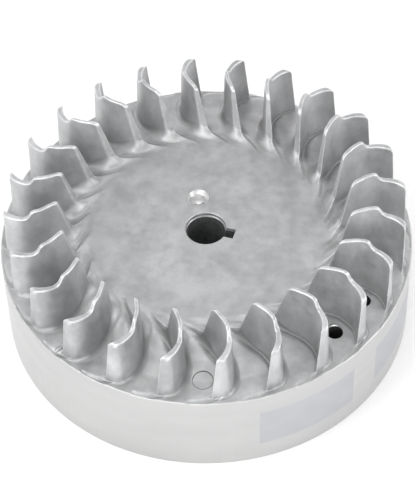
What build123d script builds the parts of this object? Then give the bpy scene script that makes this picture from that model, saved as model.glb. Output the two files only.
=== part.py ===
from build123d import *
import os
from math import cos, radians, sin

# A fan flywheel for a small air-cooled engine. Millimetres, +Z along the bore axis towards the
# fan blades, origin on the axis in the plane of the rim's bottom face.

# Rim and face
rim_radius = 85.0
rim_height = 41.0
rim_wall = 8.5
rim_edge_break = 0.6
floor_edge_radius = 74.0
face_radius = 47.0
face_height = 46.4
web_thickness = 7.0
web_flat_radius = 46.0
casting_fillet = 3.0

# Hub
bore_radius = 8.0
skin_hole_radius = 8.4
skin_thickness = 1.6
bush_radius = 16.0
bush_foot = 6.0
bush_groove_depth = 1.2
bush_groove_width = 3.0
bush_groove_pitch = 9.0
boss_foot = 8.0
boss_radius = 22.0
key_width = 5.0
key_reach = 12.2
key_azimuth = -18.0

# Underside ribs and the balance pad opposite the magnet
rib_count = 8
rib_width = 4.0
rib_foot = 29.0
pad_thickness = 4.0
pad_sweep = 50.0
pad_low = 6.0
pad_high = 34.0

# Fan blades. Each is an arched plate that bulges anticlockwise, in a frame whose X axis passes
# through its apex.
blade_count = 24
blade_azimuth = 6.1
blade_apex_radius = 71.2
blade_half_thickness = 0.78
blade_draft = 2.1
blade_inner_arc = 16.0
blade_inner_sweep = 27.0
blade_outer_arc = 13.5
blade_outer_sweep = 64.0
blade_tail_length = 21.0
crest_height = 68.6
shoulder_height = 64.6
shoulder_radius = 72.4
crest_end_radius = 70.0
leading_top_radius = 59.6
leading_foot_radius = 54.6
ramp_radius = 5.0
trailing_top_radius = 81.7
trailing_foot_radius = 82.3
blade_root = 40.0

# Ignition magnet and its two laminated pole shoes
magnet_azimuth = 317.1
shoe_gap_sweep = 9.3
shoe_sweep = 29.6
shoe_inner_radius = 76.0
shoe_foot = 10.0
lamination_count = 14
lamination_thickness = 1.5
shoe_notch_radius = 1.8
magnet_inner_radius = 67.5
magnet_sweep = 26.0
magnet_cover = 3.0
magnet_cover_end = 3.5
magnet_cover_height = 5.0
rivet_radius = 2.0
rivet_head_radius = 3.2
rivet_head_height = 1.0
rivet_circle_radius = 80.4
rivet_spread = 9.0

# Marks of the casting die
core_pin_radius = 3.2
core_pin_circle_radius = 72.0
core_pin_azimuths = (313.9, 329.7)
dimple_radius = 4.2
dimple_depth = 1.5
dimple_circle_radius = 17.2
dimple_azimuth = 99.5

shoe_height = lamination_count * lamination_thickness
shoe_top = shoe_foot + shoe_height
shoe_offset = (shoe_gap_sweep + shoe_sweep) / 2
shoe_azimuths = {"leading": magnet_azimuth + shoe_offset, "trailing": magnet_azimuth - shoe_offset}
cavity_radius = rim_radius - rim_wall
rib_length = cavity_radius + rim_wall / 2 - boss_radius
web_underside = face_height - web_thickness
floor_underside = rim_height - web_thickness


def polar(radius, azimuth):
    return (radius * cos(radians(azimuth)), radius * sin(radians(azimuth)))


def ring_sector(inner, outer, azimuth, sweep):
    """Adds the edges of a ring sector, centred on an azimuth, to the current BuildLine."""
    start = azimuth - sweep / 2
    end = azimuth + sweep / 2
    CenterArc((0, 0), inner, start, sweep)
    CenterArc((0, 0), outer, start, sweep)
    Line(polar(inner, start), polar(outer, start))
    Line(polar(inner, end), polar(outer, end))


def blade_side(offset):
    """Adds one side of the blade's plan, at an offset from its centre line; returns its two ends."""
    inner_centre = (blade_apex_radius, -blade_inner_arc)
    outer_centre = (blade_apex_radius, -blade_outer_arc)
    inner = CenterArc(inner_centre, blade_inner_arc + offset, 90, blade_inner_sweep)
    outer = CenterArc(outer_centre, blade_outer_arc + offset, 90, -blade_outer_sweep)
    tail_step = Vector(cos(radians(blade_inner_sweep)), sin(radians(blade_inner_sweep)))
    tail_end = inner @ 1 - tail_step * blade_tail_length
    Line(inner @ 1, tail_end)
    return tail_end, outer @ 1


os.makedirs("parts", exist_ok=True)

# One fan blade: the drafted plate, cut to the outline that it has seen from the side.
with BuildPart() as blade:
    with BuildSketch(Plane.XY.offset(crest_height + 1)):
        with BuildLine():
            convex_tail, convex_end = blade_side(blade_half_thickness)
            concave_tail, concave_end = blade_side(-blade_half_thickness)
            Line(convex_tail, concave_tail)
            Line(convex_end, concave_end)
        make_face()
    extrude(amount=-(crest_height + 1 - blade_root), taper=-blade_draft)
    with BuildSketch(Plane.XZ):
        with BuildLine():
            outline = FilletPolyline(
                (face_radius - 3, face_height - 0.15),
                (leading_foot_radius, face_height - 0.15),
                (leading_top_radius, crest_height),
                (crest_end_radius, crest_height),
                (shoulder_radius, shoulder_height),
                (trailing_top_radius, shoulder_height),
                (trailing_foot_radius, blade_root),
                radius=(ramp_radius, 2.0, 1.2, 1.2, 1.5),
            )
            Polyline(
                outline @ 0,
                (face_radius - 3, blade_root),
                outline @ 1,
            )
        make_face()
    revolve(axis=Axis.Z, mode=Mode.INTERSECT)


# Steel hub, cast into the boss, with the keyed bore for the crankshaft.
with BuildPart() as hub_bush:
    with BuildSketch(Plane.XY.offset(bush_foot)):
        Circle(bush_radius)
        Circle(bore_radius, mode=Mode.SUBTRACT)
    extrude(amount=face_height - skin_thickness - bush_foot)
    chamfer(hub_bush.edges().filter_by(GeomType.CIRCLE), length=0.5)
    for groove in range(3):
        groove_height = boss_foot + 5 + groove * bush_groove_pitch
        with BuildSketch(Plane.XY.offset(groove_height)):
            Circle(bush_radius + 1)
            Circle(bush_radius - bush_groove_depth, mode=Mode.SUBTRACT)
        extrude(amount=bush_groove_width, mode=Mode.SUBTRACT)
    with BuildSketch(Plane.XY.offset(bush_foot).rotated((0, 0, key_azimuth))):
        with Locations((key_reach / 2, 0)):
            Rectangle(key_reach, key_width)
    extrude(amount=face_height, mode=Mode.SUBTRACT)
hub_bush.part.label = "hub_bush"

# Pole shoes: each is a riveted stack of steel laminations whose outer edges lie in the rim's face.
laminations = {}
for side, azimuth in shoe_azimuths.items():
    for layer in range(lamination_count):
        lamination_foot = shoe_foot + layer * lamination_thickness
        with BuildPart() as lamination:
            with BuildSketch(Plane.XY.offset(lamination_foot)):
                with BuildLine():
                    ring_sector(shoe_inner_radius, rim_radius, azimuth, shoe_sweep)
                make_face()
                notch_radius = (shoe_inner_radius + rim_radius) / 2
                for end in (-1, 1):
                    with Locations(polar(notch_radius, azimuth + end * shoe_sweep / 2)):
                        Circle(shoe_notch_radius, mode=Mode.SUBTRACT)
                    with Locations(polar(rivet_circle_radius, azimuth + end * rivet_spread)):
                        Circle(rivet_radius, mode=Mode.SUBTRACT)
            extrude(amount=lamination_thickness)
        name = f"{side}_shoe_lamination_{layer + 1:02d}"
        lamination.part.label = name
        laminations[name] = lamination.part

# Two rivets hold each stack together.
rivets = {}
for side, azimuth in shoe_azimuths.items():
    with BuildPart() as shoe_rivets:
        for end in (-1, 1):
            centre = polar(rivet_circle_radius, azimuth + end * rivet_spread)
            with BuildSketch(Plane.XY.offset(shoe_foot)):
                with Locations(centre):
                    Circle(rivet_radius)
            extrude(amount=shoe_height)
            with BuildSketch(Plane.XY.offset(shoe_foot - rivet_head_height), Plane.XY.offset(shoe_top)):
                with Locations(centre):
                    Circle(rivet_head_radius)
            extrude(amount=rivet_head_height)
    name = f"{side}_shoe_rivets"
    shoe_rivets.part.label = name
    rivets[name] = shoe_rivets.part

# Curved magnet that bridges the two shoes behind the gap between them.
with BuildPart() as ignition_magnet:
    with BuildSketch(Plane.XY.offset(shoe_foot)):
        with BuildLine():
            ring_sector(magnet_inner_radius, shoe_inner_radius, magnet_azimuth, magnet_sweep)
        make_face()
    extrude(amount=shoe_height)
ignition_magnet.part.label = "ignition_magnet"

# Aluminium die casting: rim, web, hub boss and ribs.
with BuildPart() as flywheel_casting:
    with BuildSketch(Plane.XZ):
        with BuildLine():
            Polyline(
                (0, boss_foot),
                (boss_radius, boss_foot),
                (boss_radius + 1, web_underside),
                (web_flat_radius, web_underside),
                (floor_edge_radius - 2, floor_underside),
                (cavity_radius - 1, floor_underside),
                (cavity_radius, 0),
                (rim_radius - rim_edge_break, 0),
                (rim_radius, rim_edge_break),
                (rim_radius, rim_height - rim_edge_break),
                (rim_radius - rim_edge_break, rim_height),
                (floor_edge_radius, rim_height),
                (face_radius, face_height),
                (0, face_height),
                close=True,
            )
        section = make_face()
        hollow = section.vertices().filter_by(
            lambda corner: floor_underside - 1 < corner.Z < web_underside + 1
        )
        fillet(hollow, radius=casting_fillet)
    revolve(axis=Axis.Z)
    with BuildSketch(Plane.XY.offset(rib_foot)):
        with PolarLocations(boss_radius - 1, rib_count, start_angle=magnet_azimuth):
            Rectangle(rib_length, rib_width, align=(Align.MIN, Align.CENTER))
    extrude(amount=rim_height - 1 - rib_foot)
    with BuildSketch(Plane.XY.offset(pad_low)):
        with BuildLine():
            ring_sector(cavity_radius - pad_thickness, rim_radius - 2, magnet_azimuth + 180, pad_sweep)
        make_face()
    extrude(amount=pad_high - pad_low)
    with BuildSketch(Plane.XY.offset(shoe_foot - magnet_cover_height)):
        with BuildLine():
            cover_sweep = magnet_sweep + 2 * magnet_cover_end
            ring_sector(magnet_inner_radius - magnet_cover, rim_radius - 2, magnet_azimuth, cover_sweep)
        make_face()
        with BuildLine():
            shoe_cover_sweep = shoe_gap_sweep + 2 * shoe_sweep + 2 * magnet_cover_end
            ring_sector(shoe_inner_radius - magnet_cover, rim_radius - 2, magnet_azimuth, shoe_cover_sweep)
        make_face()
    extrude(amount=floor_underside + 1 - shoe_foot + magnet_cover_height)
    # Seats of the cast-in pieces
    add(ignition_magnet.part, mode=Mode.SUBTRACT)
    for piece in rivets.values():
        add(piece, mode=Mode.SUBTRACT)
    for azimuth in shoe_azimuths.values():
        with BuildSketch(Plane.XY.offset(shoe_foot)):
            with BuildLine():
                ring_sector(shoe_inner_radius, rim_radius + 1, azimuth, shoe_sweep)
            make_face()
            notch_radius = (shoe_inner_radius + rim_radius) / 2
            for end in (-1, 1):
                with Locations(polar(notch_radius, azimuth + end * shoe_sweep / 2)):
                    Circle(shoe_notch_radius, mode=Mode.SUBTRACT)
        extrude(amount=shoe_height, mode=Mode.SUBTRACT)
    with BuildSketch(Plane.XY.offset(rim_height)):
        for azimuth in core_pin_azimuths:
            with Locations(polar(core_pin_circle_radius, azimuth)):
                Circle(core_pin_radius)
    extrude(amount=-(rim_height - shoe_top), mode=Mode.SUBTRACT)
    # Hole through the skin over the hub, its keyway, and the seat of the hub
    with BuildSketch(Plane.XY.offset(face_height)):
        Circle(skin_hole_radius)
        with Locations(Rotation(0, 0, key_azimuth)):
            with Locations((key_reach / 2, 0)):
                Rectangle(key_reach, key_width)
    extrude(amount=-face_height, mode=Mode.SUBTRACT)
    add(hub_bush.part, mode=Mode.SUBTRACT)
    with BuildSketch(Plane.XY.offset(face_height)):
        with Locations(polar(dimple_circle_radius, dimple_azimuth)):
            Circle(dimple_radius)
    extrude(amount=-dimple_depth, mode=Mode.SUBTRACT)
flywheel_casting.part.label = "flywheel_casting"

# The ring of blades, which is one pour with the casting. It is kept apart from it so that the air
# channels stay open between simple solids.
with BuildPart() as fan_blades:
    with PolarLocations(0, blade_count, start_angle=blade_azimuth):
        add(blade.part)
    add(flywheel_casting.part, mode=Mode.SUBTRACT)
fan_blades.part.label = "fan_blades"

export_step(flywheel_casting.part, "parts/flywheel_casting.step")
export_step(fan_blades.part, "parts/fan_blades.step")
export_step(hub_bush.part, "parts/hub_bush.step")
export_step(ignition_magnet.part, "parts/ignition_magnet.step")
for name, piece in {**laminations, **rivets}.items():
    export_step(piece, f"parts/{name}.step")
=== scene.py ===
import math

import bpy
import numpy as np
from mathutils import Matrix, Vector


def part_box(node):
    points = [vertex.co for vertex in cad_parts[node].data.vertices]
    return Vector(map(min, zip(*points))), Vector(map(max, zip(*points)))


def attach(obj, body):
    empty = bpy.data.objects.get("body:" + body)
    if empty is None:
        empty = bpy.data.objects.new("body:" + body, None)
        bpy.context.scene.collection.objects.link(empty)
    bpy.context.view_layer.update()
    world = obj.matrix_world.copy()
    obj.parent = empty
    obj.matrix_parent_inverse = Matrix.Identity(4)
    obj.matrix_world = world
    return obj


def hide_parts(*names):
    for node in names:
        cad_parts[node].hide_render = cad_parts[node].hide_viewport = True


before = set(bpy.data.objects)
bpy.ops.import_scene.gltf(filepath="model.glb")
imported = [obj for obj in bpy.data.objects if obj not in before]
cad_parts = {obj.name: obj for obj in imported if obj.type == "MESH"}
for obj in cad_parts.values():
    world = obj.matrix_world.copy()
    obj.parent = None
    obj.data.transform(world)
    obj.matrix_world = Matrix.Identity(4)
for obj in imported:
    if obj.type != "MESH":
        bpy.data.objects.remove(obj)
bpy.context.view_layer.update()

# The looks of the fan flywheel. The casting with its blades is grown as one closed skin from a
# distance field in millimetres and cut where it has holes, marks or the seat of another piece. It
# replaces the CAD's casting and blades. The hub, magnet, laminations and rivets are the CAD nodes
# themselves, with materials.

MM = 0.001

# ---------------------------------------------------------------- sizes, in millimetres and degrees

CASTING_LOW, CASTING_HIGH = (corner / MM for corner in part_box("flywheel_casting"))
BLADES_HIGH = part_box("fan_blades")[1] / MM
HUB_LOW, HUB_HIGH = (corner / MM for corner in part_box("hub_bush"))
MAGNET_LOW, MAGNET_HIGH = (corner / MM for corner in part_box("ignition_magnet"))

RIM_RADIUS = CASTING_HIGH.x
RIM_HEIGHT = 41.0
RIM_WALL = 8.5
FACE_RADIUS = 47.0
FACE_HEIGHT = CASTING_HIGH.z
FLOOR_EDGE_RADIUS = 74.0
WEB_THICKNESS = 7.0
WEB_FLAT_RADIUS = 46.0
CAVITY_RADIUS = RIM_RADIUS - RIM_WALL
CASTING_FILLET = 3.0

BLADES = 24
PITCH = 360.0 / BLADES
BLADE_AZIMUTH = 6.1
APEX_RADIUS = 71.2
HALF_THICKNESS = 0.78
HALF_THICKNESS_HEIGHT = 69.6
DRAFT = math.tan(math.radians(2.1))
INNER_ARC, INNER_SWEEP = 16.0, math.radians(27.0)
OUTER_ARC, OUTER_SWEEP = 13.5, math.radians(64.0)
CREST_HEIGHT = BLADES_HIGH.z
SHOULDER_HEIGHT = 64.6
RAMP_FOOT_RADIUS, RAMP_TOP_RADIUS = 54.6, 59.6
STEP_TOP_RADIUS, STEP_FOOT_RADIUS = 70.0, 72.4
OUTER_EDGE_TOP_RADIUS, OUTER_EDGE_FOOT_RADIUS = 81.7, 82.3
CREST_ROUNDING, OUTER_CORNER_ROUNDING = 0.55, 1.4
OUTER_END_EXTRA = 0.25
GROOVE_DEPTH, SPUR_HEIGHT = 1.3, 1.6

BOSS_RADIUS, BOSS_FOOT, BOSS_RISE_PER_WIDENING = 22.0, 8.0, 31.0
RIBS, RIB_WIDTH, RIB_FOOT, RIB_ROOT, RIB_TAPER = 8, 4.0, 29.0, 36.0, 0.03
MAGNET_AZIMUTH = 317.1
SHOE_GAP, SHOE_SWEEP = 9.3, 29.6
SHOE_FOOT, SHOE_TOP = MAGNET_LOW.z, MAGNET_HIGH.z
SHOE_INNER_RADIUS = 76.0
MAGNET_INNER_RADIUS, MAGNET_SWEEP = 67.5, 26.0
COVER, COVER_END, COVER_HEIGHT = 3.0, 3.5, 5.0
PAD_THICKNESS, PAD_SWEEP, PAD_LOW = 4.0, 50.0, 6.0

PILOT_HOLE_RADIUS, SKIN_HOLE_RADIUS = 7.2, 8.4
KEY_WIDTH, KEY_REACH, KEY_AZIMUTH = 5.0, 12.2, -18.0
HUB_GROOVE_DEPTH, HUB_GROOVE_WIDTH, HUB_GROOVE_PITCH = 1.2, 3.0, 9.0
RIVET_CIRCLE_RADIUS, RIVET_SPREAD, RIVET_HEAD_RADIUS, RIVET_HEAD_HEIGHT = 80.4, 9.0, 3.2, 1.0
CORE_PIN_RADIUS, CORE_PIN_CIRCLE_RADIUS, CORE_PIN_AZIMUTHS = 3.2, 72.0, (313.9, 329.7)
RECESS_RADIUS, RECESS_CIRCLE_RADIUS, RECESS_AZIMUTH = 4.2, 17.2, 99.5
EJECTOR_RADIUS, EJECTOR_CIRCLE_RADIUS, EJECTOR_AZIMUTH = 4.05, 73.8, 267.7
STUD_RADIUS, STUD_CIRCLE_RADIUS, STUD_AZIMUTH, STUD_SLASH_AZIMUTH = 1.7, 81.9, 223.7, 33.0
MARK_WIDTH, MARK_DEPTH, SLASH_WIDTH = 0.52, 0.5, 0.6

TRIANGLES = 180000
LARGE_FACE = 2.0


# ---------------------------------------------------------------- rounded unions and intersections

def round_union(a, b, radius):
    """Union of two distance fields with a round fillet between them."""
    corner = np.hypot(np.maximum(radius - a, 0), np.maximum(radius - b, 0))
    return np.maximum(radius, np.minimum(a, b)) - corner


def round_cut(a, b, radius):
    """Intersection of two distance fields with a rounded edge."""
    corner = np.hypot(np.maximum(radius + a, 0), np.maximum(radius + b, 0))
    return np.minimum(-radius, np.maximum(a, b)) + corner


def soft_union(a, b, width):
    """Union of two distance fields that run nearly side by side."""
    blend = np.maximum(width - np.abs(a - b), 0)
    return np.minimum(a, b) - blend ** 2 / (4 * width)


def half_plane(u, v, start, end):
    """Distance from the line through two points, positive on its left."""
    du, dv = end[0] - start[0], end[1] - start[1]
    return ((v - start[1]) * du - (u - start[0]) * dv) / math.hypot(du, dv)


def smooth_step(low, high, value):
    share = np.clip((value - low) / (high - low), 0, 1)
    return share * share * (3 - 2 * share)


def soft_ramp(value, width):
    """Zero up to -width, the value itself from width on, and a smooth curve between."""
    return np.clip(value + width, 0, 2 * width) ** 2 / (4 * width) + np.maximum(value - width, 0)


# ---------------------------------------------------------------- the casting's distance field

def blade_line():
    """Radius and azimuth along a blade's centre line, which is a straight tail and two arcs."""
    inner = np.linspace(INNER_SWEEP, 0, 40)
    outer = np.linspace(0, OUTER_SWEEP, 60)[1:]
    inner_x, inner_y = APEX_RADIUS - INNER_ARC * np.sin(inner), INNER_ARC * (np.cos(inner) - 1)
    outer_x, outer_y = APEX_RADIUS + OUTER_ARC * np.sin(outer), OUTER_ARC * (np.cos(outer) - 1)
    arc_x = np.concatenate([inner_x, outer_x])
    arc_y = np.concatenate([inner_y, outer_y])
    tail = np.linspace(30, 0.5, 40)
    x = np.concatenate([arc_x[0] - tail * math.cos(INNER_SWEEP), arc_x])
    y = np.concatenate([arc_y[0] - tail * math.sin(INNER_SWEEP), arc_y])
    return np.hypot(x, y), np.degrees(np.arctan2(y, x))


LINE_RADIUS, LINE_AZIMUTH = blade_line()


def line_azimuth(radius):
    return BLADE_AZIMUTH + np.interp(radius, LINE_RADIUS, LINE_AZIMUTH)


def blade_side(x, y):
    """Signed distance from a blade's centre line in plan, positive on its bulging side."""
    inner_x, inner_y = x - APEX_RADIUS, y + INNER_ARC
    inner = np.hypot(inner_x, inner_y) - INNER_ARC
    outer = np.hypot(x - APEX_RADIUS, y + OUTER_ARC) - OUTER_ARC
    end_x = APEX_RADIUS - INNER_ARC * math.sin(INNER_SWEEP)
    end_y = INNER_ARC * (math.cos(INNER_SWEEP) - 1)
    tail = (y - end_y) * math.cos(INNER_SWEEP) - (x - end_x) * math.sin(INNER_SWEEP)
    in_tail = np.arctan2(-inner_x, inner_y) > INNER_SWEEP
    return np.where(x > APEX_RADIUS, outer, np.where(in_tail, tail, inner))


def blade_outline(r, z):
    """The blade seen from the side: ramp, crest, step, shoulder and outer edge."""
    ramp = half_plane(r, z, (RAMP_FOOT_RADIUS, FACE_HEIGHT - 0.15), (RAMP_TOP_RADIUS, CREST_HEIGHT))
    step = half_plane(r, z, (STEP_TOP_RADIUS, CREST_HEIGHT), (STEP_FOOT_RADIUS, SHOULDER_HEIGHT))
    outer_edge = half_plane(r, z, (OUTER_EDGE_TOP_RADIUS, SHOULDER_HEIGHT),
                            (OUTER_EDGE_FOOT_RADIUS, RIM_HEIGHT - 1))
    crest = round_cut(z - CREST_HEIGHT, step, 1.2)
    top = round_union(crest, z - SHOULDER_HEIGHT, 1.4)
    return round_cut(round_cut(ramp, top, 2.0), outer_edge, 1.5)


def top_face(r, z):
    """Flat face, sloping channel floor and level outer annulus."""
    slope = half_plane(r, z, (FACE_RADIUS, FACE_HEIGHT), (FLOOR_EDGE_RADIUS, RIM_HEIGHT))
    face = -soft_union(FACE_HEIGHT - z, -slope, 0.12)
    return soft_union(face, z - RIM_HEIGHT, 0.25)


def web_under_face(r, z):
    under, floor_under = FACE_HEIGHT - WEB_THICKNESS, RIM_HEIGHT - WEB_THICKNESS
    slope = half_plane(r, z, (WEB_FLAT_RADIUS, under), (FLOOR_EDGE_RADIUS - 2, floor_under))
    face = -soft_union(under - z, -slope, 0.12)
    return soft_union(face, z - floor_under, 0.25)


def arc_gap(r, azimuth, centre, sweep):
    """Distance outside a sector, along the circle."""
    turn = (azimuth - centre + 180) % 360 - 180
    return (np.abs(turn) - sweep / 2) * math.pi / 180 * r


def foot_fillet(r, side):
    """Fillet radius at a blade's foot, broadest at the ramp and on the bulging side."""
    bulging = 0.5 + 0.5 * np.tanh(side)
    along = (1.1 + 1.3 * bulging) * (1 - 0.4 * smooth_step(77, 83, r))
    return along + (4.5 - along) * (1 - smooth_step(54, 62, r))


def groove_depth(r, side):
    """How far the channel floor drops along a blade's hollow side, from a ridge to the blade's foot."""
    ridge = 4.5 - 1.6 * smooth_step(60, 80, r)
    across = np.minimum((side + ridge) / (ridge - 1.6), 1)
    across = soft_ramp(across, 0.4) * (1 - smooth_step(-1, 1, side))
    return GROOVE_DEPTH * across * smooth_step(49.5, 57, r) * (1 - 0.6 * smooth_step(72, 84, r))


def spur_height(r, side):
    """How far the floor rises at the ramp's foot, along a spur that curls towards the hollow side."""
    off_crest = side + 0.5 * np.maximum(56 - r, 0)
    width = np.where(off_crest < 0, 1.4, 4.0)
    rise = soft_ramp(np.exp(-(off_crest / width) ** 2) - 0.08, 0.05)
    return SPUR_HEIGHT * rise * smooth_step(46.5, 55, r) * (1 - smooth_step(57, 66, r))


def ribs(r, azimuth, z):
    """Radial ribs under the web, a little thicker at their roots."""
    pitch = 360 / RIBS
    turn = (azimuth - MAGNET_AZIMUTH + pitch / 2) % pitch - pitch / 2
    side = r * np.abs(np.sin(np.radians(turn))) - RIB_WIDTH / 2 - (RIB_ROOT - z) * RIB_TAPER
    return round_cut(side, RIB_FOOT - z, 0.8)


def wall_pad(r, azimuth, z, centre, sweep, inner_radius, foot):
    """A stretch of the rim's wall that is thicker towards the inside."""
    end = arc_gap(r, azimuth, centre, sweep)
    return round_cut(round_cut(end, inner_radius - r, 1.5), foot - z, 1.0)


def wall_pads(r, azimuth, z):
    """The covers over the magnet and the pole shoes, and the balance pad opposite them."""
    foot = SHOE_FOOT - COVER_HEIGHT
    magnet_sweep = MAGNET_SWEEP + 2 * COVER_END
    shoe_sweep = SHOE_GAP + 2 * SHOE_SWEEP + 2 * COVER_END
    balance_azimuth, balance_radius = MAGNET_AZIMUTH + 180, CAVITY_RADIUS - PAD_THICKNESS
    return (wall_pad(r, azimuth, z, MAGNET_AZIMUTH, magnet_sweep, MAGNET_INNER_RADIUS - COVER, foot),
            wall_pad(r, azimuth, z, MAGNET_AZIMUTH, shoe_sweep, SHOE_INNER_RADIUS - COVER, foot),
            wall_pad(r, azimuth, z, balance_azimuth, PAD_SWEEP, balance_radius, PAD_LOW))


def body_field(r, azimuth, z, top):
    """Distance from the casting without its blades, under a given top face."""
    outer = round_cut(round_cut(top, r - RIM_RADIUS, 0.45), -z, 0.5)
    boss_side = r - BOSS_RADIUS - (z - BOSS_FOOT) / BOSS_RISE_PER_WIDENING
    boss = round_cut(boss_side, BOSS_FOOT - z, 1.0)
    cavity = round_cut(web_under_face(r, z), r - CAVITY_RADIUS, CASTING_FILLET)
    cavity = round_cut(cavity, -boss, CASTING_FILLET)
    body = round_cut(outer, -cavity, 0.5)
    within = np.maximum(top + WEB_THICKNESS / 2, r - RIM_RADIUS + 3.5)
    for extra in (ribs(r, azimuth, z), *wall_pads(r, azimuth, z)):
        body = round_union(body, np.maximum(extra, within), 2.0)
    return body


def blade_field(r, z, side):
    """Distance from a blade, which is rounder along the bulging side's outer corner than elsewhere."""
    half = HALF_THICKNESS + (HALF_THICKNESS_HEIGHT - z) * DRAFT + OUTER_END_EXTRA * smooth_step(72, 80, r)
    outer_corner = smooth_step(78, 81, r) * (1 - smooth_step(58, 64, z)) * (side > 0)
    rounding = CREST_ROUNDING + (np.minimum(half, OUTER_CORNER_ROUNDING) - CREST_ROUNDING) * outer_corner
    return round_cut(np.abs(side) - half, blade_outline(r, z), rounding)


def casting_field(r, azimuth, z):
    """Distance from the casting's skin, negative inside the metal."""
    turn = azimuth - line_azimuth(r)
    local = np.radians(azimuth - PITCH * np.round(turn / PITCH) - BLADE_AZIMUTH)
    side = blade_side(r * np.cos(local), r * np.sin(local))
    top = top_face(r, z) + groove_depth(r, side) - spur_height(r, side)
    body = body_field(r, azimuth, z, top)
    bladed = round_union(body, blade_field(r, z, side), foot_fillet(r, side))
    skin = np.where(top > -WEB_THICKNESS / 2, bladed, body)
    return np.maximum(skin, PILOT_HOLE_RADIUS - r)


# ---------------------------------------------------------------- skin mesh from the field

def graded(*stretches):
    """Positions along an axis: each stretch is (start, step) and runs to the next one's start."""
    places = []
    for (start, step), (end, _) in zip(stretches, stretches[1:]):
        count = max(1, round((end - start) / step))
        places.extend(start + (end - start) * i / count for i in range(count))
    return np.array(places + [stretches[-1][0]])


GRID_RADIUS = graded((6.6, 1.0), (8.6, 3.4), (19, 0.9), (27, 3.2), (43, 1.0), (50, 0.55), (62, 1.0),
                     (69.4, 0.45), (73.6, 0.8), (81, 0.35), (84.2, 0.2), (85.4, 0.2))
GRID_TURN = graded((-7.5, 0.8), (-5.6, 0.36), (-2.2, 0.24), (2.2, 0.45), (4.6, 0.9), (7.5, 1.0))[:-1]
GRID_HEIGHT = graded((-0.6, 0.3), (1.2, 1.9), (5, 0.8), (10, 3.0), (27, 0.7), (31, 1.0), (40, 0.5),
                     (49, 1.8), (63, 0.35), (69.5, 0.3))
CELL_CORNERS = [(a, b, c) for a in (0, 1) for b in (0, 1) for c in (0, 1)]


def grid_shear(r, z):
    """How far the grid is turned: it follows the blades above the web and the ribs below it."""
    share = smooth_step(35, 40.5, z)
    rib = MAGNET_AZIMUTH % PITCH
    return rib + share * (line_azimuth(np.maximum(r, FACE_RADIUS - 3)) - rib)


def place(i, j, k):
    """Radius, azimuth and height at a place in the grid's own counts."""
    r = np.interp(i, np.arange(len(GRID_RADIUS)), GRID_RADIUS)
    z = np.interp(k, np.arange(len(GRID_HEIGHT)), GRID_HEIGHT)
    columns = len(GRID_TURN)
    turn = np.interp(j % columns, np.arange(columns + 1), np.append(GRID_TURN, GRID_TURN[0] + PITCH))
    return r, turn + PITCH * np.floor(j / columns) + grid_shear(r, z), z


def sample_field():
    """The field at every place of the grid, one blade's share at a time."""
    columns = len(GRID_TURN)
    shape = (len(GRID_RADIUS), columns * BLADES, len(GRID_HEIGHT))
    values = np.empty(shape, np.float32)
    for blade in range(BLADES):
        span = np.arange(blade * columns, (blade + 1) * columns)
        i, j, k = np.meshgrid(np.arange(shape[0]), span, np.arange(shape[2]), indexing="ij")
        values[:, span, :] = casting_field(*place(i, j, k))
    return values


def crossing_points(closed, cells):
    """For each cell, the mean of the places where the field changes sign on its edges."""
    level = {corner: closed[tuple((cells + corner).T)].astype(float) for corner in CELL_CORNERS}
    total = np.zeros((len(cells), 3))
    crossings = np.zeros(len(cells))
    for corner in CELL_CORNERS:
        for axis in range(3):
            if corner[axis]:
                continue
            other = tuple(1 if n == axis else value for n, value in enumerate(corner))
            crossed = (level[corner] < 0) != (level[other] < 0)
            share = level[corner][crossed] / (level[corner][crossed] - level[other][crossed])
            point = np.tile(np.array(corner, float), (crossed.sum(), 1))
            point[:, axis] = share
            total[crossed] += point
            crossings[crossed] += 1
    return cells + total / crossings[:, None]


def crossed_edge_quads(inside, number, axis):
    """A quad round each grid edge along an axis that passes through the skin."""
    shape = np.array(number.shape)
    first, second = (axis + 1) % 3, (axis + 2) % 3
    edges = np.argwhere(inside != np.roll(inside, -1, axis))
    keep = edges[:, axis] < shape[axis]
    for n in (first, second):
        keep &= (edges[:, n] >= (0 if n == 1 else 1)) & (edges[:, n] < shape[n])
    edges = edges[keep]
    corners = []
    for a, b in ((0, 0), (-1, 0), (-1, -1), (0, -1)):
        cell = edges.copy()
        cell[:, first] += a
        cell[:, second] += b
        cell[:, 1] %= shape[1]
        corners.append(number[tuple(cell.T)])
    quads = np.stack(corners, axis=1)
    outward = inside[tuple(edges.T)]
    quads[~outward] = quads[~outward][:, ::-1]
    return quads


def surface_net(values):
    """Vertices in grid counts and quads of the closed surface where the field changes sign."""
    closed = np.concatenate([values, values[:, :1]], axis=1)
    inside = closed < 0
    rows, columns, layers = (size - 1 for size in closed.shape)
    count = sum(inside[a:a + rows, b:b + columns, c:c + layers].astype(np.int8) for a, b, c in CELL_CORNERS)
    cells = np.argwhere((count > 0) & (count < 8))
    number = np.full((rows, columns, layers), -1, np.int64)
    number[tuple(cells.T)] = np.arange(len(cells))
    quads = [crossed_edge_quads(inside, number, axis) for axis in range(3)]
    return crossing_points(closed, cells), np.concatenate(quads)


def cylinder_place(points):
    x, y, z = points.T
    return np.hypot(x, y), np.degrees(np.arctan2(y, x)), z


def field_at(points):
    return casting_field(*cylinder_place(points))


def field_slope(points, step=0.01):
    """The field at some points, and its gradient."""
    here = field_at(points)
    slope = np.empty_like(points)
    for axis in range(3):
        shift = np.zeros(3)
        shift[axis] = step
        slope[:, axis] = (field_at(points + shift) - here) / step
    return here, slope


def settle(points, rounds=3):
    """Moves points onto the skin."""
    for _ in range(rounds):
        here, slope = field_slope(points)
        move = here[:, None] * slope / np.maximum((slope ** 2).sum(1), 0.05)[:, None]
        length = np.linalg.norm(move, axis=1)[:, None]
        points = points - move * np.minimum(1, 0.4 / np.maximum(length, 1e-9))
    return points


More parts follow.
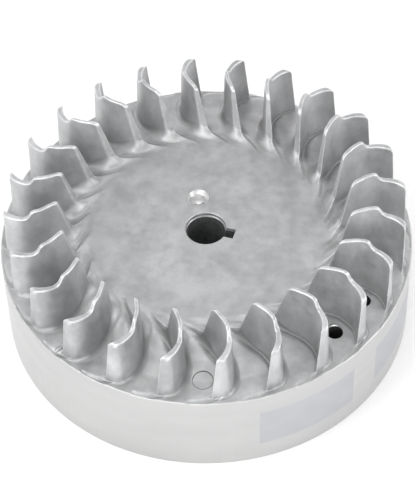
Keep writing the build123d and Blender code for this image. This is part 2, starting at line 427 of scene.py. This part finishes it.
def mesh_object(name, points, faces):
    """A Blender mesh object from points in millimetres."""
    mesh = bpy.data.meshes.new(name)
    mesh.from_pydata((np.asarray(points) * MM).tolist(), [], [list(map(int, face)) for face in faces])
    mesh.validate()
    made = bpy.data.objects.new(name, mesh)
    bpy.context.scene.collection.objects.link(made)
    return made


def apply_modifiers(made):
    """Replaces an object's mesh by what its modifiers make of it."""
    evaluated = made.evaluated_get(bpy.context.evaluated_depsgraph_get())
    mesh = bpy.data.meshes.new_from_object(evaluated)
    made.modifiers.clear()
    old = made.data
    made.data = mesh
    bpy.data.meshes.remove(old)


def make_skin():
    grid_vertices, quads = surface_net(sample_field())
    r, azimuth, z = place(*grid_vertices.T)
    turn = np.radians(azimuth)
    points = settle(np.stack([r * np.cos(turn), r * np.sin(turn), z], axis=1))
    return mesh_object("casting", points, quads)


# ---------------------------------------------------------------- what is cut out of the skin

def polar(radius, azimuth):
    return radius * math.cos(math.radians(azimuth)), radius * math.sin(math.radians(azimuth))


def ring(name, profile, centre, steps):
    """A closed ring about a vertical line; the profile runs anticlockwise round its section."""
    points = []
    for radius, height in profile:
        for step in range(steps):
            x, y = polar(radius, 360 * step / steps)
            points.append((centre[0] + x, centre[1] + y, height))
    faces = []
    for n in range(len(profile)):
        low, high = n * steps, (n + 1) % len(profile) * steps
        for step in range(steps):
            after = (step + 1) % steps
            faces.append((low + step, low + after, high + after, high + step))
    return mesh_object(name, points, faces)


def turned(name, profile, centre=(0, 0), steps=72):
    """A closed solid of revolution about a vertical line; the profile starts and ends on it."""
    points = [(centre[0], centre[1], profile[0][1]), (centre[0], centre[1], profile[-1][1])]
    rings = profile[1:-1]
    for radius, height in rings:
        for step in range(steps):
            x, y = polar(radius, 360 * step / steps)
            points.append((centre[0] + x, centre[1] + y, height))
    faces = []
    for step in range(steps):
        after = (step + 1) % steps
        faces.append((0, 2 + after, 2 + step))
        for level in range(len(rings) - 1):
            low, high = 2 + level * steps, 2 + (level + 1) * steps
            faces.append((low + step, low + after, high + after, high + step))
        last = 2 + (len(rings) - 1) * steps
        faces.append((1, last + step, last + after))
    return mesh_object(name, points, faces)


def prism(name, outline, low, high):
    """A closed upright prism; the outline runs anticlockwise."""
    count = len(outline)
    points = [(x, y, z) for z in (low, high) for x, y in outline]
    faces = [tuple(range(count))[::-1], tuple(range(count, 2 * count))]
    for n in range(count):
        after = (n + 1) % count
        faces.append((n, after, count + after, count + n))
    return mesh_object(name, points, faces)


def sector(name, inner, outer, azimuth, sweep, low, high):
    steps = max(8, round(sweep / 1.25))
    angles = [azimuth - sweep / 2 + sweep * n / steps for n in range(steps + 1)]
    outline = [polar(outer, angle) for angle in angles] + [polar(inner, angle) for angle in angles[::-1]]
    return prism(name, outline, low, high)


def bar(name, centre, length, width, azimuth, low, high):
    """An upright block whose long side points along an azimuth."""
    along_x, along_y = polar(length / 2, azimuth)
    across_x, across_y = polar(width / 2, azimuth + 90)
    outline = []
    for a, b in ((-1, -1), (1, -1), (1, 1), (-1, 1)):
        outline.append((centre[0] + a * along_x + b * across_x, centre[1] + a * along_y + b * across_y))
    return prism(name, outline, low, high)


def hub_seat():
    """The hub's outer shape with its three grooves, and the hole above it."""
    radius, groove = HUB_HIGH.x, HUB_HIGH.x - HUB_GROOVE_DEPTH
    profile = [(0, HUB_LOW.z - 1), (radius, HUB_LOW.z - 1)]
    for n in range(3):
        foot = BOSS_FOOT + 5 + n * HUB_GROOVE_PITCH
        head = foot + HUB_GROOVE_WIDTH
        profile += [(radius, foot), (groove, foot), (groove, head), (radius, head)]
    top = HUB_HIGH.z
    profile += [(radius, top - 0.5), (radius - 0.5, top), (SKIN_HOLE_RADIUS, top)]
    profile += [(SKIN_HOLE_RADIUS, FACE_HEIGHT - 0.35), (SKIN_HOLE_RADIUS + 0.7, FACE_HEIGHT + 0.35),
                (SKIN_HOLE_RADIUS + 0.7, FACE_HEIGHT + 2), (0, FACE_HEIGHT + 2)]
    return turned("hub_seat", profile, steps=120)


def keyway_seat():
    return bar("keyway", polar(KEY_REACH / 2, KEY_AZIMUTH), KEY_REACH, KEY_WIDTH, KEY_AZIMUTH,
               HUB_HIGH.z - 0.01, FACE_HEIGHT + 2)


def magnet_and_shoe_seats():
    """The seats of the magnet, the pole shoes and the rivets' heads."""
    seats = [sector("magnet_seat", MAGNET_INNER_RADIUS, SHOE_INNER_RADIUS + 0.2, MAGNET_AZIMUTH,
                    MAGNET_SWEEP, SHOE_FOOT, SHOE_TOP)]
    for side in (-1, 1):
        azimuth = MAGNET_AZIMUTH + side * (SHOE_GAP + SHOE_SWEEP) / 2
        seats.append(sector("shoe_seat", SHOE_INNER_RADIUS, RIM_RADIUS + 2, azimuth, SHOE_SWEEP,
                            SHOE_FOOT, SHOE_TOP))
        for end in (-1, 1):
            centre = polar(RIVET_CIRCLE_RADIUS, azimuth + end * RIVET_SPREAD)
            low, high = SHOE_FOOT - RIVET_HEAD_HEIGHT, SHOE_TOP + RIVET_HEAD_HEIGHT
            profile = [(0, low), (RIVET_HEAD_RADIUS, low), (RIVET_HEAD_RADIUS, high), (0, high)]
            seats.append(turned("rivet_seat", profile, centre, 32))
    return seats


def core_pin_hole(azimuth):
    """A deep round hole with a narrow bevel at its mouth."""
    low, high = SHOE_TOP - 0.01, RIM_HEIGHT + 3
    profile = [(0, low), (CORE_PIN_RADIUS - 0.15, low), (CORE_PIN_RADIUS, RIM_HEIGHT - 0.15),
               (CORE_PIN_RADIUS + 0.35, RIM_HEIGHT + 0.3), (CORE_PIN_RADIUS + 0.35, high), (0, high)]
    return turned("core_pin_hole", profile, polar(CORE_PIN_CIRCLE_RADIUS, azimuth), 64)


def recess():
    """The shallow round recess beside the bore, with a wide bevel and a domed floor."""
    profile = [(0, FACE_HEIGHT - 1.2), (1.6, FACE_HEIGHT - 1.45), (RECESS_RADIUS - 1.0, FACE_HEIGHT - 1.75),
               (RECESS_RADIUS - 0.7, FACE_HEIGHT - 1.5), (RECESS_RADIUS - 0.1, FACE_HEIGHT - 0.3),
               (RECESS_RADIUS + 0.75, FACE_HEIGHT + 0.35), (0, FACE_HEIGHT + 0.35)]
    return turned("recess", profile, polar(RECESS_CIRCLE_RADIUS, RECESS_AZIMUTH), 64)


def marks():
    """The ejector pin's ring, and the small ring with a slash across it."""
    made = []
    foot, head, half = RIM_HEIGHT - MARK_DEPTH, RIM_HEIGHT + 1.4, MARK_WIDTH / 2
    for radius, circle_radius, azimuth in ((EJECTOR_RADIUS, EJECTOR_CIRCLE_RADIUS, EJECTOR_AZIMUTH),
                                           (STUD_RADIUS, STUD_CIRCLE_RADIUS, STUD_AZIMUTH)):
        profile = [(radius - half / 3, foot), (radius + half / 3, foot),
                   (radius + half, head), (radius - half, head)]
        made.append(ring("mark", profile, polar(circle_radius, azimuth), 48))
    made.append(bar("slash", polar(STUD_CIRCLE_RADIUS, STUD_AZIMUTH), 2 * STUD_RADIUS, SLASH_WIDTH,
                    STUD_SLASH_AZIMUTH, foot, RIM_HEIGHT + 0.2))
    return made


def make_cutters():
    core_pin_holes = [core_pin_hole(azimuth) for azimuth in CORE_PIN_AZIMUTHS]
    return [hub_seat(), keyway_seat(), *magnet_and_shoe_seats(), *core_pin_holes, recess(), *marks()]


def cut(made, cutters):
    """Takes the cutters out of an object and removes them."""
    group = bpy.data.collections.new("cutters")
    bpy.context.scene.collection.children.link(group)
    for cutter in cutters:
        group.objects.link(cutter)
        bpy.context.scene.collection.objects.unlink(cutter)
    boolean = made.modifiers.new("cut", "BOOLEAN")
    boolean.operation = "DIFFERENCE"
    boolean.operand_type = "COLLECTION"
    boolean.collection = group
    boolean.solver = "MANIFOLD"
    boolean.material_mode = "TRANSFER"
    apply_modifiers(made)
    for cutter in cutters:
        mesh = cutter.data
        bpy.data.objects.remove(cutter)
        bpy.data.meshes.remove(mesh)
    bpy.data.collections.remove(group)


def thin_out(made, triangles):
    """Merges small faces where the skin is nearly flat."""
    count = sum(len(face.vertices) - 2 for face in made.data.polygons)
    if count > triangles:
        decimate = made.modifiers.new("thin", "DECIMATE")
        decimate.ratio = triangles / count
        apply_modifiers(made)


def mesh_points(made):
    points = np.empty(len(made.data.vertices) * 3)
    made.data.vertices.foreach_get("co", points)
    return points.reshape(-1, 3) / MM


def face_corners(mesh):
    """Each face corner's vertex, each face's corner count, and which faces are large."""
    corners = np.empty(len(mesh.loops), np.int32)
    mesh.loops.foreach_get("vertex_index", corners)
    counts = np.empty(len(mesh.polygons), np.int32)
    mesh.polygons.foreach_get("loop_total", counts)
    points = np.empty(len(mesh.vertices) * 3)
    mesh.vertices.foreach_get("co", points)
    spots = points.reshape(-1, 3)[corners]
    starts = np.concatenate([[0], np.cumsum(counts)[:-1]])
    reach = np.maximum.reduceat(spots, starts) - np.minimum.reduceat(spots, starts)
    return corners, counts, np.linalg.norm(reach, axis=1) > LARGE_FACE * MM


def face_values(mesh, what):
    """A vector of every face, as rows."""
    values = np.empty(len(mesh.polygons) * 3)
    mesh.polygons.foreach_get(what, values)
    return values.reshape(-1, 3)


def shade_from_field(made):
    """Smooth shading that follows the field, sharp at the machined edges."""
    mesh = made.data
    mesh.shade_smooth()
    mesh.set_sharp_from_angle(angle=math.radians(32))
    here, slope = field_slope(mesh_points(made))
    slope /= np.maximum(np.linalg.norm(slope, axis=1), 1e-9)[:, None]
    corners, counts, large = face_corners(mesh)
    large = np.repeat(large, counts)
    face_normals = np.repeat(face_values(mesh, "normal"), counts, axis=0)
    normals = slope[corners]
    agreement = (normals * face_normals).sum(1)
    agrees = agreement > np.where(large, math.cos(math.radians(10)), math.cos(math.radians(40)))
    flat = large & ~agrees
    normals[flat] = face_normals[flat]
    cut_away = np.abs(here[corners]) > 0.03
    normals[cut_away | ~(agrees | large)] = 0
    mesh.normals_split_custom_set(normals.tolist())


def field_bend(points, step=0.22):
    """How sharply the skin bends near some points, per millimetre, positive on edges.

    The blades' outer edges count for less than their crests, for less polish and painted highlight, and the
    channel floor has no edges.
    """
    here = field_at(points)
    bend = np.zeros(len(points))
    for axis in range(3):
        shift = np.zeros(3)
        shift[axis] = step
        bend += (field_at(points + shift) + field_at(points - shift) - 2 * here) / step ** 2
    bend[np.abs(here) > 0.05] = 0
    r, _, z = cylinder_place(points)
    outer_edge = (r > OUTER_EDGE_TOP_RADIUS - 1.4) & (z > RIM_HEIGHT + 1.5) & (z < SHOULDER_HEIGHT - 1.5)
    bend[outer_edge] *= 0.35
    floor = (top_face(r, z) < 0.15) & (z > RIM_HEIGHT - 2) & (r < RIM_RADIUS - 2)
    bend[floor] = np.minimum(bend[floor], 0.4)
    return np.clip(bend, -2, 2)


def mark_bends(made):
    """Stores how sharply the skin bends, for the polish and painted highlight on edges and the painted
    shade in hollows.

    A large face takes the bend at its middle, because its corners lie on edges that it isn't part of.
    """
    mesh = made.data
    corners, counts, large = face_corners(mesh)
    bend = field_bend(mesh_points(made))[corners]
    middle = np.repeat(field_bend(face_values(mesh, "center") / MM), counts)
    bend = np.where(np.repeat(large, counts), middle, bend)
    attribute = mesh.attributes.new("bend", "FLOAT", "CORNER")
    attribute.data.foreach_set("value", bend.astype(np.float32))


def make_casting():
    made = make_skin()
    thin_out(made, TRIANGLES)
    points = settle(mesh_points(made), rounds=2) * MM
    made.data.vertices.foreach_set("co", points.ravel())
    cut(made, make_cutters())
    shade_from_field(made)
    mark_bends(made)
    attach(made, "root")
    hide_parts("flywheel_casting", "fan_blades")
    return made


# ---------------------------------------------------------------- materials

def new_material(name):
    """An empty node material with a Principled shader; returns it with its node tree and shader."""
    material = bpy.data.materials.new(name)
    material.use_nodes = True
    tree = material.node_tree
    return material, tree, tree.nodes["Principled BSDF"]


def noise(tree, vector, scale, detail=3.0, roughness=0.55):
    node = tree.nodes.new("ShaderNodeTexNoise")
    node.inputs["Scale"].default_value = scale
    node.inputs["Detail"].default_value = detail
    node.inputs["Roughness"].default_value = roughness
    tree.links.new(vector, node.inputs["Vector"])
    return node.outputs["Fac"]


def remap(tree, value, low, high, out_low, out_high):
    node = tree.nodes.new("ShaderNodeMapRange")
    node.inputs["From Min"].default_value = low
    node.inputs["From Max"].default_value = high
    node.inputs["To Min"].default_value = out_low
    node.inputs["To Max"].default_value = out_high
    tree.links.new(value, node.inputs["Value"])
    return node.outputs["Result"]


def combine(tree, operation, first, second):
    node = tree.nodes.new("ShaderNodeMath")
    node.operation = operation
    for place_in, value in zip(node.inputs, (first, second)):
        if isinstance(value, (int, float)):
            place_in.default_value = value
        else:
            tree.links.new(value, place_in)
    return node.outputs[0]


def mix_colour(tree, share, first, second):
    node = tree.nodes.new("ShaderNodeMix")
    node.data_type = "RGBA"
    colour_inputs = (node.inputs[6], node.inputs[7])
    for place_in, value in zip(colour_inputs, (first, second)):
        if isinstance(value, tuple):
            place_in.default_value = (*value, 1.0)
        else:
            tree.links.new(value, place_in)
    tree.links.new(share, node.inputs[0])
    return node.outputs[2]


def bump(tree, height, distance, strength, before=None):
    node = tree.nodes.new("ShaderNodeBump")
    node.inputs["Distance"].default_value = distance * MM
    node.inputs["Strength"].default_value = strength
    tree.links.new(height, node.inputs["Height"])
    if before is not None:
        tree.links.new(before, node.inputs["Normal"])
    return node.outputs["Normal"]


def stretched(tree, scale):
    """Object coordinates with a scale of their own along each axis."""
    coordinates = tree.nodes.new("ShaderNodeTexCoord").outputs["Object"]
    node = tree.nodes.new("ShaderNodeMapping")
    node.inputs["Scale"].default_value = scale
    tree.links.new(coordinates, node.inputs["Vector"])
    return node.outputs["Vector"]


def distance_from_axis(tree):
    node = tree.nodes.new("ShaderNodeVectorMath")
    node.operation = "LENGTH"
    tree.links.new(stretched(tree, (1, 1, 0)), node.inputs[0])
    return node.outputs["Value"]


def cast_material():
    """Tumbled die-cast aluminium: mottled and satin, paler along its edges from polish and a painted
    highlight, and darker in its hollows with painted shade.
    """
    material, tree, shader = new_material("cast_aluminium_skin")
    place_at = stretched(tree, (1, 1, 1))
    blotches = noise(tree, place_at, 42, 2.0, 0.5)
    patches = noise(tree, stretched(tree, (1, 1, 0.6)), 120, 3.0, 0.55)
    mottle = noise(tree, place_at, 260, 4.0, 0.6)
    grain = noise(tree, place_at, 1500, 3.0, 0.6)
    bend = tree.nodes.new("ShaderNodeAttribute")
    bend.attribute_name = "bend"
    # Paler, smoother where the skin bends outward: partly polish from tumbling, partly a painted highlight.
    edge = remap(tree, bend.outputs["Fac"], 0.5, 1.6, 0.0, 1.0)
    edge = combine(tree, "MULTIPLY", edge, remap(tree, mottle, 0.38, 0.58, 0.45, 1.0))
    # Darker where the skin bends inward, in fillets, grooves and crevices: painted shade.
    hollow = remap(tree, bend.outputs["Fac"], -0.12, -0.5, 0.0, 0.8)
    tone = combine(tree, "ADD", combine(tree, "MULTIPLY", blotches, 0.4),
                   combine(tree, "MULTIPLY", patches, 0.4))
    tone = combine(tree, "ADD", tone, combine(tree, "MULTIPLY", mottle, 0.2))
    tone = remap(tree, tone, 0.39, 0.61, 0.0, 1.0)
    tone = combine(tree, "MULTIPLY", tone, remap(tree, grain, 0.36, 0.5, 0.8, 1.0))
    tone = combine(tree, "MULTIPLY", tone, remap(tree, distance_from_axis(tree), 0.040, 0.058, 0.65, 1.0))
    colour = mix_colour(tree, tone, (0.37, 0.373, 0.376), (0.585, 0.588, 0.591))
    # The hollows' darker colour: painted shade.
    colour = mix_colour(tree, hollow, colour, (0.345, 0.347, 0.348))
    # The edges' paler colour: polish and painted highlight.
    colour = mix_colour(tree, edge, colour, (0.66, 0.665, 0.67))
    tree.links.new(colour, shader.inputs["Base Color"])
    dull = remap(tree, mottle, 0.3, 0.7, 0.36, 0.54)
    dull = combine(tree, "SUBTRACT", dull, combine(tree, "MULTIPLY", edge, 0.14))
    tree.links.new(dull, shader.inputs["Roughness"])
    shader.inputs["Metallic"].default_value = 0.6
    peel = bump(tree, noise(tree, place_at, 190, 2.0, 0.5), 0.12, 0.4)
    tree.links.new(bump(tree, grain, 0.03, 0.35, peel), shader.inputs["Normal"])
    return material


def turned_material():
    """The rim's face, turned on a lathe: paler, with fine lines that run round it."""
    material, tree, shader = new_material("turned_aluminium")
    lines = noise(tree, stretched(tree, (6, 6, 3800)), 1.0, 4.0, 0.7)
    broad = noise(tree, stretched(tree, (25, 25, 110)), 1.0, 3.0, 0.5)
    share = remap(tree, broad, 0.3, 0.7, 0.0, 1.0)
    colour = mix_colour(tree, share, (0.525, 0.527, 0.521), (0.565, 0.565, 0.559))
    tree.links.new(colour, shader.inputs["Base Color"])
    tree.links.new(remap(tree, lines, 0.3, 0.7, 0.34, 0.46), shader.inputs["Roughness"])
    shader.inputs["Metallic"].default_value = 0.9
    tree.links.new(bump(tree, lines, 0.012, 0.3), shader.inputs["Normal"])
    return material


def machined_material():
    """Bright faces left by a drill."""
    material, tree, shader = new_material("machined_aluminium")
    marks = noise(tree, stretched(tree, (500, 500, 1500)), 1.0, 2.0, 0.5)
    share = remap(tree, marks, 0.3, 0.7, 0.0, 1.0)
    colour = mix_colour(tree, share, (0.55, 0.55, 0.55), (0.68, 0.68, 0.68))
    tree.links.new(colour, shader.inputs["Base Color"])
    tree.links.new(remap(tree, marks, 0.3, 0.7, 0.3, 0.42), shader.inputs["Roughness"])
    shader.inputs["Metallic"].default_value = 0.9
    tree.links.new(bump(tree, marks, 0.006, 0.2), shader.inputs["Normal"])
    return material


def shoe_material():
    """Ground edges of the steel laminations: grey with a cool tint and the faintest layer lines."""
    material, tree, shader = new_material("ground_lamination_steel")
    lines = noise(tree, stretched(tree, (8, 8, 3200)), 1.0, 4.0, 0.7)
    cloud = noise(tree, stretched(tree, (120, 120, 120)), 1.0, 3.0, 0.55)
    share = remap(tree, cloud, 0.3, 0.7, 0.0, 1.0)
    colour = mix_colour(tree, share, (0.465, 0.47, 0.49), (0.50, 0.505, 0.525))
    tree.links.new(colour, shader.inputs["Base Color"])
    tree.links.new(remap(tree, lines, 0.3, 0.7, 0.38, 0.5), shader.inputs["Roughness"])
    shader.inputs["Metallic"].default_value = 0.9
    tree.links.new(bump(tree, lines, 0.012, 0.3), shader.inputs["Normal"])
    return material


def dark_metal_material(name, first, second, rough_low, rough_high):
    """Dark metal with a mottled film: oil on the hub's steel, the magnet's own dark alloy, and painted
    shade on the core holes' walls.
    """
    material, tree, shader = new_material(name)
    film = noise(tree, stretched(tree, (300, 300, 700)), 1.0, 4.0, 0.6)
    share = remap(tree, film, 0.3, 0.7, 0.0, 1.0)
    tree.links.new(mix_colour(tree, share, first, second), shader.inputs["Base Color"])
    tree.links.new(remap(tree, film, 0.3, 0.7, rough_low, rough_high), shader.inputs["Roughness"])
    shader.inputs["Metallic"].default_value = 0.85
    tree.links.new(bump(tree, film, 0.03, 0.3), shader.inputs["Normal"])
    return material


def give(made, *materials):
    made.data.materials.clear()
    for material in materials:
        made.data.materials.append(material)


def paint_casting(made):
    """The rim is turned, the recess and the core holes' rims are bright, and the holes' walls are dark with
    painted shade.
    """
    mesh = made.data
    centres = face_values(mesh, "center") / MM
    normals = face_values(mesh, "normal")
    r = np.hypot(centres[:, 0], centres[:, 1])
    on_rim = (r > RIM_RADIUS - 0.3) & (np.abs(normals[:, 2]) < 0.8)
    index = np.where(on_rim, 1, 0).astype(np.int32)
    spots = [(polar(RECESS_CIRCLE_RADIUS, RECESS_AZIMUTH), RECESS_RADIUS, FACE_HEIGHT - 2)]
    spots += [(polar(CORE_PIN_CIRCLE_RADIUS, azimuth), CORE_PIN_RADIUS + 0.9, RIM_HEIGHT - 0.8)
              for azimuth in CORE_PIN_AZIMUTHS]
    height = centres[:, 2]
    cut_away = np.abs(field_at(centres)) > 0.04
    for (x, y), radius, low in spots:
        near = cut_away & (np.hypot(centres[:, 0] - x, centres[:, 1] - y) < radius + 0.1)
        index[near & (height > low)] = 2
        # The deep core holes' walls take a dark material that paints the shade inside them.
        index[near & (height <= low) & (height > SHOE_TOP - 0.1)] = 3
    # Dark mottled metal as painted shade on the core holes' walls.
    hole_shade = dark_metal_material("painted_shade_core_hole", (0.10, 0.10, 0.10), (0.16, 0.16, 0.16), 0.6, 0.8)
    give(made, cast_material(), turned_material(), machined_material(), hole_shade)
    mesh.polygons.foreach_set("material_index", index)


def paint_nodes():
    shoe = shoe_material()
    hub = dark_metal_material("oiled_hub_steel", (0.28, 0.285, 0.29), (0.40, 0.405, 0.41), 0.3, 0.5)
    magnet = dark_metal_material("magnet_alloy", (0.10, 0.10, 0.102), (0.17, 0.17, 0.172), 0.5, 0.7)
    for name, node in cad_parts.items():
        if "lamination" in name or "rivets" in name:
            give(node, shoe)
        elif name == "hub_bush":
            give(node, hub)
        elif name == "ignition_magnet":
            give(node, magnet)


# ---------------------------------------------------------------- floor, light and camera

def make_floor():
    """A large pale floor under the part."""
    reach, height = 3000.0, CASTING_LOW.z - 0.02
    corners = [(x * reach, y * reach, height) for x, y in ((-1, -1), (1, -1), (1, 1), (-1, 1))]
    floor = mesh_object("floor", corners, [(0, 1, 2, 3)])
    material, _, shader = new_material("pale_floor")
    shader.inputs["Base Color"].default_value = (0.95, 0.95, 0.95, 1)
    shader.inputs["Roughness"].default_value = 0.9
    shader.inputs["Specular IOR Level"].default_value = 0.1
    give(floor, material)


def area_light(name, place_at, target, size, power):
    """A soft rectangular light; place, target and size in millimetres, power in watts."""
    lamp = bpy.data.lights.new(name, "AREA")
    lamp.shape = "RECTANGLE"
    lamp.size, lamp.size_y = size[0] * MM, size[1] * MM
    lamp.energy = power
    made = bpy.data.objects.new(name, lamp)
    bpy.context.scene.collection.objects.link(made)
    made.location = Vector(place_at) * MM
    aim = (Vector(target) - Vector(place_at)).to_track_quat("-Z", "Y")
    made.rotation_mode = "QUATERNION"
    made.rotation_quaternion = aim


def make_world():
    """Studio surroundings: bright below and at the horizon, greyer overhead."""
    world = bpy.data.worlds.new("studio")
    bpy.context.scene.world = world
    world.use_nodes = True
    tree = world.node_tree
    background = tree.nodes["Background"]
    direction = tree.nodes.new("ShaderNodeTexCoord").outputs["Generated"]
    split = tree.nodes.new("ShaderNodeSeparateXYZ")
    tree.links.new(direction, split.inputs["Vector"])
    ramp = tree.nodes.new("ShaderNodeValToRGB")
    stops = ((0.0, 1.6), (0.3, 1.45), (0.5, 1.1), (0.7, 0.5), (1.0, 0.5))
    elements = ramp.color_ramp.elements
    while len(elements) < len(stops):
        elements.new(0.5)
    for element, (position, level) in zip(elements, stops):
        element.position = position
        element.color = (level, level, level * 1.01, 1)
    tree.links.new(split.outputs["Z"], ramp.inputs["Fac"])
    tree.links.new(ramp.outputs["Color"], background.inputs["Color"])
    background.inputs["Strength"].default_value = 1.0


def make_lights():
    make_world()
    middle = (0, 0, RIM_HEIGHT - 1)
    area_light("key", (-420, -260, 620), middle, (420, 420), 2.0)
    area_light("fill", (560, -120, 420), middle, (300, 500), 1.0)
    area_light("over", (-60, 130, 820), middle, (600, 300), 1.35)
    area_light("front", (-60, -760, 330), (0, 0, 45), (800, 260), 1.5)


def make_camera():
    """Looks down at 50 degrees from the front, from 0.8 m, with the faintest roll."""
    elevation, roll, distance = math.radians(49.977), math.radians(-1.746), 813.67
    target = Vector((0.381, 1.937, 30.0))
    forward = Vector((0, math.cos(elevation), -math.sin(elevation)))
    level_right = Vector((1, 0, 0))
    level_up = level_right.cross(forward)
    right = level_right * math.cos(roll) + level_up * math.sin(roll)
    up = level_up * math.cos(roll) - level_right * math.sin(roll)
    lens = bpy.data.cameras.new("camera")
    lens.sensor_width = 36.0
    lens.lens = 139.85
    lens.clip_start, lens.clip_end = 0.05, 20.0
    camera = bpy.data.objects.new("camera", lens)
    bpy.context.scene.collection.objects.link(camera)
    axes = Matrix((right, up, -forward)).transposed().to_4x4()
    camera.matrix_world = Matrix.Translation((target - forward * distance) * MM) @ axes
    bpy.context.scene.camera = camera


casting = make_casting()
paint_casting(casting)
paint_nodes()
make_floor()
make_lights()
make_camera()
bpy.context.scene.view_settings.view_transform = "Standard"
